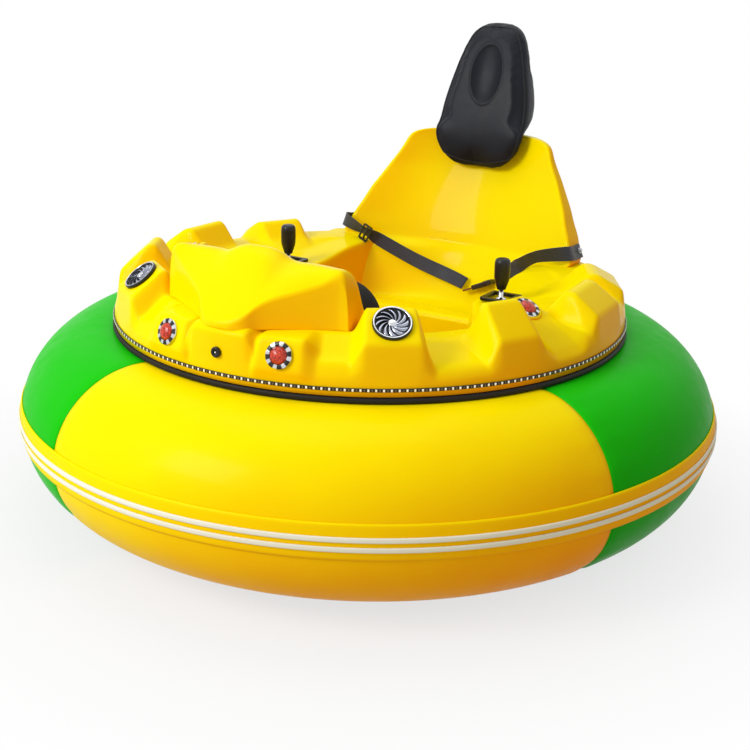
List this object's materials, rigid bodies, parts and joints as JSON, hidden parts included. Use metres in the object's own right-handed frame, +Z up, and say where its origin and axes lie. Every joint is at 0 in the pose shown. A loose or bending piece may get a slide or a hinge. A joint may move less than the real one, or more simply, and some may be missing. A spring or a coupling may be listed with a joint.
{
  "type": "inflatable bumper car",
  "caption": "Round ride-on bumper car: air tube around a moulded body with bucket seat, hand levers and lap belt, standing on driven wheels and swivel castors.",
  "frame": {"origin": "on the floor under the centre of the air tube", "axes": "+Z up, -Y the front of the car, +X the rider's left"},
  "size_m": [1.9096, 1.9096, 1.2585],
  "materials": {
    "tube_green": "satin coated fabric",
    "tube_yellow": "satin coated fabric",
    "stripe_white": "satin",
    "trim_black": "matt",
    "light_strip": "satin with white lights",
    "body_yellow": "gloss gelcoat",
    "floor_grey": "ribbed matt",
    "vinyl_black": "satin vinyl",
    "fan_lamp": "bright vanes in a black rim",
    "red_lamp": "clear red dome in a checked chrome ring",
    "socket_black": "gloss",
    "control_black": "satin",
    "steel": "brushed",
    "foam_black": "satin",
    "webbing": "woven",
    "buckle_black": "satin",
    "frame_paint": "satin",
    "battery_case": "matt",
    "motor_grey": "satin",
    "rim_alloy": "cast",
    "tyre_black": "matt",
    "castor_steel": "zinc plated",
    "castor_tread": "matt"
  },
  "bodies": {
    "body": {"tube_panel_front": "tube_yellow", "tube_panel_left": "tube_green", "tube_panel_rear": "tube_yellow", "tube_panel_right": "tube_green", "rub_band": "tube_yellow", "stripe_upper": "stripe_white", "stripe_lower": "stripe_white", "edge_trim": "trim_black", "led_strip": "light_strip", "body_shell": "body_yellow", "front_cowl": "body_yellow", "cockpit_floor": "floor_grey", "seat_base": "body_yellow", "seat_back": "body_yellow", "headrest": "vinyl_black", "fan_lamp_left": "fan_lamp", "fan_lamp_right": "fan_lamp", "red_lamp_front_left": "red_lamp", "red_lamp_front_right": "red_lamp", "red_lamp_side_left": "red_lamp", "red_lamp_side_right": "red_lamp", "charging_socket": "socket_black", "joystick_bezel_left": "control_black", "joystick_bezel_right": "control_black", "joystick_stem_left": "steel", "joystick_stem_right": "steel", "joystick_grip_left": "control_black", "joystick_grip_right": "control_black", "hand_ring": "foam_black", "hand_ring_arm": "control_black", "lap_belt_left": "webbing", "lap_belt_right": "webbing", "belt_adjuster": "buckle_black", "belt_buckle": "buckle_black", "belt_bolt_left": "steel", "belt_bolt_right": "steel", "chassis_frame": "frame_paint", "battery": "battery_case", "drive_motor_left": "motor_grey", "drive_motor_right": "motor_grey"},
    "drive_wheel_left": {"wheel_rim_left": "rim_alloy", "tyre_left": "tyre_black"},
    "drive_wheel_right": {"wheel_rim_right": "rim_alloy", "tyre_right": "tyre_black"},
    "castor_swivel_front": {"castor_fork_front": "castor_steel"},
    "castor_swivel_rear": {"castor_fork_rear": "castor_steel"},
    "castor_roller_front": {"castor_wheel_front": "castor_tread"},
    "castor_roller_rear": {"castor_wheel_rear": "castor_tread"}
  },
  "joints": [
    {"name": "drive_wheel_left_spin", "type": "hinge", "parent": "body", "child": "drive_wheel_left", "pos_m": [0.33, 0.08, 0.1], "axis": [1, 0, 0], "continuous": true},
    {"name": "drive_wheel_right_spin", "type": "hinge", "parent": "body", "child": "drive_wheel_right", "pos_m": [-0.33, 0.08, 0.1], "axis": [1, 0, 0], "continuous": true},
    {"name": "castor_front_swivel", "type": "hinge", "parent": "body", "child": "castor_swivel_front", "pos_m": [0, -0.33, 0.12], "axis": [0, 0, 1], "continuous": true},
    {"name": "castor_rear_swivel", "type": "hinge", "parent": "body", "child": "castor_swivel_rear", "pos_m": [0, 0.36, 0.12], "axis": [0, 0, 1], "continuous": true},
    {"name": "castor_front_roll", "type": "hinge", "parent": "castor_swivel_front", "child": "castor_roller_front", "pos_m": [0, -0.306, 0.04], "axis": [1, 0, 0], "continuous": true},
    {"name": "castor_rear_roll", "type": "hinge", "parent": "castor_swivel_rear", "child": "castor_roller_rear", "pos_m": [0, 0.384, 0.04], "axis": [1, 0, 0], "continuous": true}
  ]
}
